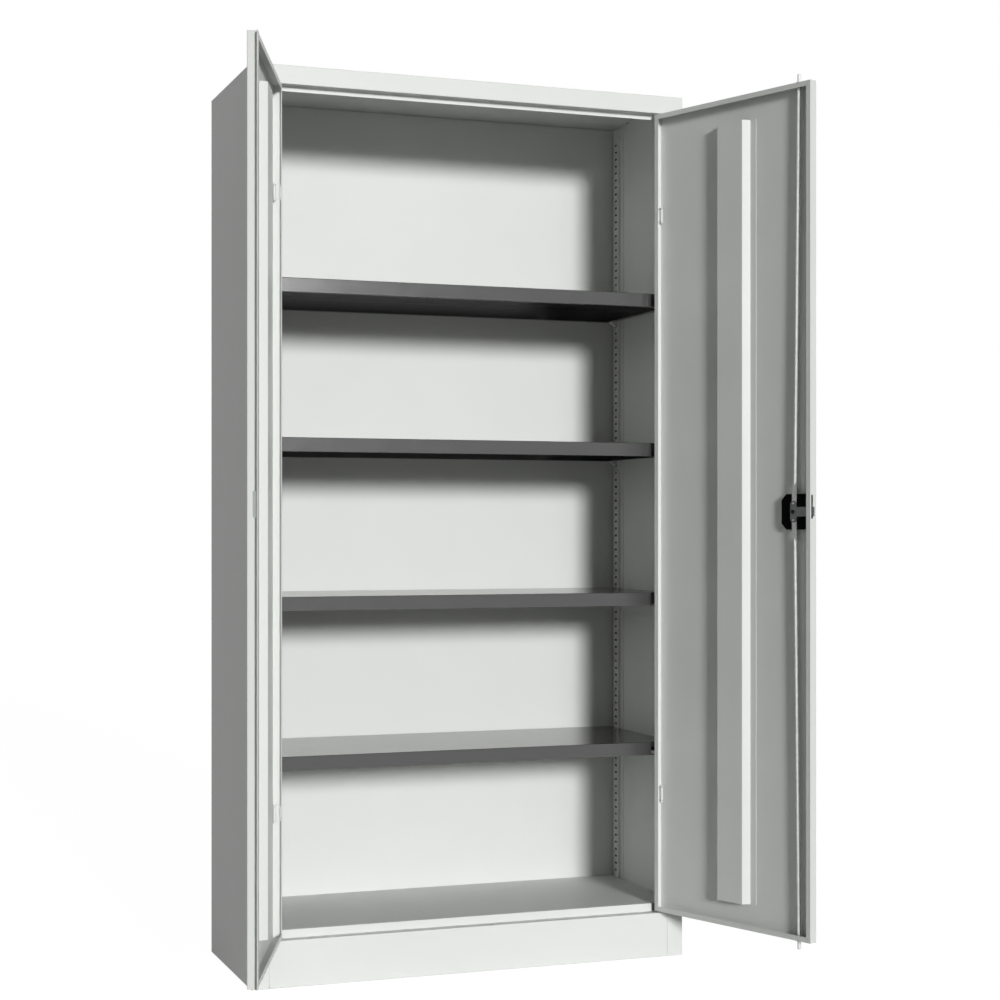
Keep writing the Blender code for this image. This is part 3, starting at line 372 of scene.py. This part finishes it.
def hinge_leaf(axis, hand, half, name, material):
    """The fixed leaf: an eye, an arm through the door's wall, a foot on the stile, and a wing in the slot."""
    bm = bmesh.new()
    foot = STILE_SIDE + SEAT_GAP + SHEET / 2
    line = arc((0, 0), EYE_RADIUS, 2 * math.pi - EYE_TURN, 2 * math.pi, EYE_STEPS)
    line += arc((EYE_RADIUS - ARM_BEND, ARM_REACH - ARM_BEND), ARM_BEND, 0, math.pi / 2, BEND_STEPS)
    line += arc((foot + ARM_BEND, ARM_REACH + ARM_BEND), ARM_BEND, -math.pi / 2, -math.pi, BEND_STEPS)
    line.append((foot, FOOT_END))
    strip(bm, line, SHEET, -half, half)
    # The wing leaves the arm as far from the axis as the door's wall is, and lies along the open door
    wall_middle = WALL_OUTSIDE + SHEET / 2
    root = Vector((EYE_RADIUS, math.sqrt(wall_middle**2 - EYE_RADIUS**2)))
    along = Vector((math.sin(DOOR_OPEN_ANGLE), math.cos(DOOR_OPEN_ANGLE)))
    strip(bm, (root + along * (SHEET / 2), root + along * WING_LENGTH), SHEET, -half, half)
    set_on_hinge(bm, axis, hand, 0)
    add_piece(f"{name}_leaf_dressed", bm, "carcass", material, f"{name}_leaf")


def hinge_ears(axis, hand, inside, outside, body, name, material):
    """The two ears in the door's corner that hold the pin."""
    bm = bmesh.new()
    wall = WALL_OUTSIDE + SHEET + SEAT_GAP
    panel = DOOR_FRONT + SHEET + SEAT_GAP
    outline = [(wall, panel), (EAR_RADIUS, panel)]
    outline += arc((0, 0), EAR_RADIUS, 0, math.pi / 2, EAR_STEPS)
    outline.append((wall, EAR_RADIUS))
    plate(bm, outline, inside, outside)
    plate(bm, outline, -outside, -inside)
    set_on_hinge(bm, axis, hand, DOOR_OPEN_ANGLE)
    add_piece(f"{name}_bracket_dressed", bm, body, material, f"{name}_bracket")


def return_bridge(axis, hand, body, name, material):
    """The door's return carried on past the hinge slot."""
    bm = bmesh.new()
    wall_middle = WALL_OUTSIDE + SHEET / 2
    return_middle = DOOR_REAR - SHEET / 2
    line = (
        (wall_middle, BRIDGE_LEG_END),
        (wall_middle, return_middle),
        (RETURN_NOTCH_EDGE - BRIDGE_GAP, return_middle),
    )
    half = NOTCH_HEIGHT / 2 - BRIDGE_GAP
    strip(bm, line, SHEET, -half, half)
    set_on_hinge(bm, axis, hand, DOOR_OPEN_ANGLE)
    add_piece(f"{name}_return_bridge", bm, body, material)


def dress_hinges(material):
    """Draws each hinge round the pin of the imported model, at the heights of its leaf and bracket."""
    for side, hand in (("left", 1), ("right", -1)):
        for place in ("upper", "lower"):
            name = f"{side}_{place}_hinge"
            pin_low, pin_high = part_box(f"{name}_pin")
            leaf_low, leaf_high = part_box(f"{name}_leaf")
            ear_low, ear_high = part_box(f"{name}_bracket")
            axis = (
                (pin_low[0] + pin_high[0]) / 2,
                (pin_low[1] + pin_high[1]) / 2,
                (leaf_low[2] + leaf_high[2]) / 2,
            )
            half = (leaf_high[2] - leaf_low[2]) / 2
            outside = (ear_high[2] - ear_low[2]) / 2
            hinge_leaf(axis, hand, half, name, material)
            hinge_ears(axis, hand, outside - EAR_SHEET, outside, f"{side}_door", name, material)
            return_bridge(axis, hand, f"{side}_door", name, material)


def paint_rail_hollow_shade(material):
    """Painted shade: black channels in the hollows behind the rails' slots, which take no light on the real
    cupboard.
    """
    for side, hand in (("left", -1), ("right", 1)):
        for place in ("front", "rear"):
            name = f"{place}_{side}_shelf_rail"
            low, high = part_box(name)
            inner, outer = sorted((hand * low[0], hand * high[0]))
            face = hand * (inner + SHEET + SEAT_GAP)
            wall = hand * (outer - SHADE_SHEET_THICKNESS)
            middle = (low[1] + high[1]) / 2
            front = middle - SHADE_SHEET_WIDTH / 2
            rear = middle + SHADE_SHEET_WIDTH / 2
            line = ((face, front), (wall, front), (wall, rear), (face, rear))
            bm = bmesh.new()
            strip(bm, line, SHADE_SHEET_THICKNESS, low[2] + SHADE_SHEET_END_INSET, high[2] - SHADE_SHEET_END_INSET)
            # Each black sheet is painted shade in a rail's hollow
            add_piece(f"{name}_painted_shade", bm, "carcass", material)


def dome(name, place, outward, radius, height, body, material):
    """A low round head that stands out from a surface."""
    bm = bmesh.new()
    rings = []
    for ring in range(DOME_RINGS):
        tilt = ring / DOME_RINGS * math.pi / 2
        rise = height * math.sin(tilt)
        circle = arc((0, 0), radius * math.cos(tilt), 0, 2 * math.pi, DOME_SIDES)[:-1]
        rings.append([bm.verts.new((x, y, rise)) for x, y in circle])
    for outer, inner in zip(rings, rings[1:]):
        for number, vert in enumerate(outer):
            following = (number + 1) % DOME_SIDES
            bm.faces.new((vert, outer[following], inner[following], inner[number]))
    bm.faces.new(rings[0])
    bm.faces.new(rings[-1])
    turn = Vector(outward).to_track_quat("Z", "Y").to_matrix().to_4x4()
    bm.transform(Matrix.Translation(place) @ turn)
    piece = add_piece(name, bm, body, material)
    piece.data.shade_smooth()


def ceiling_plug(material):
    """A small domed plug in the ceiling, beside the right wall."""
    name = "ceiling_plug"
    down = (0, 0, -1)
    dome(name, PLUG_PLACE, down, PLUG_RADIUS, PLUG_HEIGHT, "carcass", material)


def cam_rivets(material):
    """The worn, bright crowns of the two rivets that join the cam to the rods."""
    inward = Vector((-math.sin(DOOR_OPEN_ANGLE), math.cos(DOOR_OPEN_ANGLE), 0))
    axis = Vector(next(joint["pos_m"] for joint in frame["joints"] if joint["name"] == "handle_turn"))
    for place, reach in (("upper", RIVET_REACH), ("lower", -RIVET_REACH)):
        name = f"{place}_rivet_crown"
        top = axis + inward * RIVET_TOP + Vector((0, 0, reach))
        dome(name, top, inward, RIVET_RADIUS, RIVET_HEIGHT, "lock_drive", material)


def add_camera():
    """A level camera, shifted so that its axis meets the photograph at the fitted centre."""
    data = bpy.data.cameras.new("camera")
    data.sensor_fit = "HORIZONTAL"
    data.sensor_width = SENSOR_WIDTH
    data.lens = FOCAL_PIXELS / PHOTO_SIDE * SENSOR_WIDTH
    data.shift_x = (PHOTO_SIDE / 2 - CENTRE_PIXEL[0]) / PHOTO_SIDE
    data.shift_y = (CENTRE_PIXEL[1] - PHOTO_SIDE / 2) / PHOTO_SIDE
    data.clip_start = NEAREST_SEEN
    data.clip_end = FARTHEST_SEEN
    camera = bpy.data.objects.new("camera", data)
    camera.location = CAMERA_PLACE
    camera.rotation_euler = (math.pi / 2, 0, CAMERA_TURN)
    bpy.context.scene.collection.objects.link(camera)
    bpy.context.scene.camera = camera


def add_sun(name, strength, elevation, from_right, size):
    """A distant lamp of the given size; its direction is counted from straight in front."""
    data = bpy.data.lights.new(name, "SUN")
    data.energy = strength
    data.angle = size
    sun = bpy.data.objects.new(name, data)
    towards = Vector(
        (
            math.sin(from_right) * math.cos(elevation),
            -math.cos(from_right) * math.cos(elevation),
            math.sin(elevation),
        )
    )
    sun.rotation_euler = towards.to_track_quat("Z", "Y").to_euler()
    sun.location = towards * LAMP_DISTANCE
    bpy.context.scene.collection.objects.link(sun)


def seen_directly(nodes, links):
    """1 for camera, glossy and transmission rays, which see the white background."""
    path = nodes.new("ShaderNodeLightPath")
    seen = path.outputs["Is Camera Ray"]
    for ray in ("Is Glossy Ray", "Is Transmission Ray"):
        either = nodes.new("ShaderNodeMath")
        either.operation = "MAXIMUM"
        links.new(seen, either.inputs[0])
        links.new(path.outputs[ray], either.inputs[1])
        seen = either.outputs["Value"]
    return seen


def add_world():
    """Even dim light from all round, behind which the camera and gloss see plain white."""
    world = bpy.data.worlds.new("studio")
    bpy.context.scene.world = world
    world.use_nodes = True
    nodes = world.node_tree.nodes
    links = world.node_tree.links
    ambient = nodes["Background"]
    ambient.inputs["Color"].default_value = WHITE
    ambient.inputs["Strength"].default_value = AMBIENT_STRENGTH
    white = nodes.new("ShaderNodeBackground")
    white.inputs["Color"].default_value = WHITE
    white.inputs["Strength"].default_value = 1.0
    mix = nodes.new("ShaderNodeMixShader")
    links.new(seen_directly(nodes, links), mix.inputs["Fac"])
    links.new(ambient.outputs["Background"], mix.inputs[1])
    links.new(white.outputs["Background"], mix.inputs[2])
    links.new(mix.outputs["Shader"], nodes["World Output"].inputs["Surface"])


def add_floor():
    """A plain pale floor that the camera sees as nearly white, with a light shadow."""
    bm = bmesh.new()
    bmesh.ops.create_grid(bm, x_segments=1, y_segments=1, size=FLOOR_SIDE / 2)
    mesh = bpy.data.meshes.new("floor")
    bm.to_mesh(mesh)
    bm.free()
    floor = bpy.data.objects.new("floor", mesh)
    floor.location.z = -FLOOR_DROP
    bpy.context.scene.collection.objects.link(floor)
    material, nodes, links, shader = new_material("studio_floor")
    shader.inputs["Base Color"].default_value = (*FLOOR_COLOUR, 1)
    shader.inputs["Roughness"].default_value = FLOOR_ROUGHNESS
    shader.inputs["Specular IOR Level"].default_value = 0.0
    glow = nodes.new("ShaderNodeEmission")
    glow.inputs["Strength"].default_value = FLOOR_GLOW
    share = nodes.new("ShaderNodeMath")
    share.operation = "MULTIPLY"
    share.inputs[1].default_value = 1 - SHADOW_SHARE
    links.new(seen_directly(nodes, links), share.inputs[0])
    mix = nodes.new("ShaderNodeMixShader")
    links.new(share.outputs["Value"], mix.inputs["Fac"])
    links.new(shader.outputs["BSDF"], mix.inputs[1])
    links.new(glow.outputs["Emission"], mix.inputs[2])
    links.new(mix.outputs["Shader"], nodes["Material Output"].inputs["Surface"])
    mesh.materials.append(material)


bpy.context.scene.view_settings.view_transform = "Standard"
add_camera()
add_sun("key_light", KEY_STRENGTH, KEY_ELEVATION, KEY_FROM_RIGHT, KEY_SIZE)
add_sun("side_light", SIDE_STRENGTH, SIDE_ELEVATION, SIDE_FROM_RIGHT, SIDE_SIZE)
add_world()
add_floor()
looks = finishes()
dress_nodes(looks, clip_finish())
dress_hinges(looks["grey_paint"])
# The black sheets in the rails' hollows are painted shade
paint_rail_hollow_shade(looks["black_plastic"])
ceiling_plug(looks["black_plastic"])
cam_rivets(looks["zinc_plate"])
